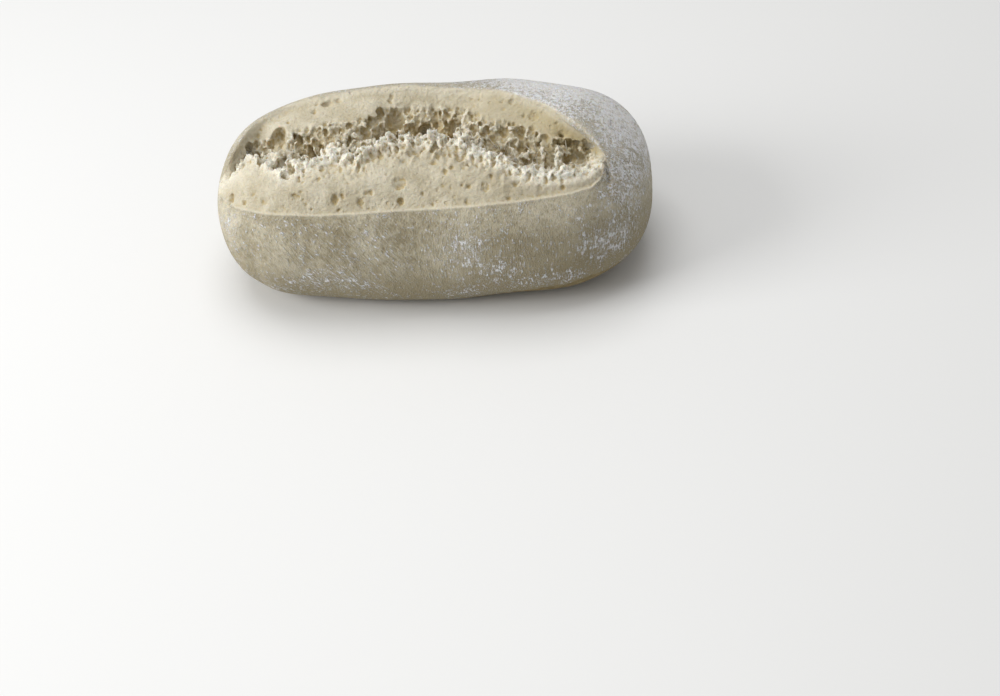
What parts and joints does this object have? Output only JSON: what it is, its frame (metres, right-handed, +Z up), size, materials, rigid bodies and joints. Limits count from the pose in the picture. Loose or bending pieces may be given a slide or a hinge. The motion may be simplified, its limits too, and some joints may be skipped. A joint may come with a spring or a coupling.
{
  "type": "bread roll",
  "caption": "Long rounded white bread roll on a flat base, split open along the top with a torn crumb crevice between two crust edges.",
  "frame": {"origin": "middle of the flat base that the roll rests on", "axes": "+X along the loaf, +Z up; -Y is the side that the tear leans towards"},
  "size_m": [0.135, 0.0746, 0.0498],
  "materials": {
    "bread": "matte"
  },
  "bodies": {
    "root": {"bread_roll": "bread"}
  },
  "joints": []
}
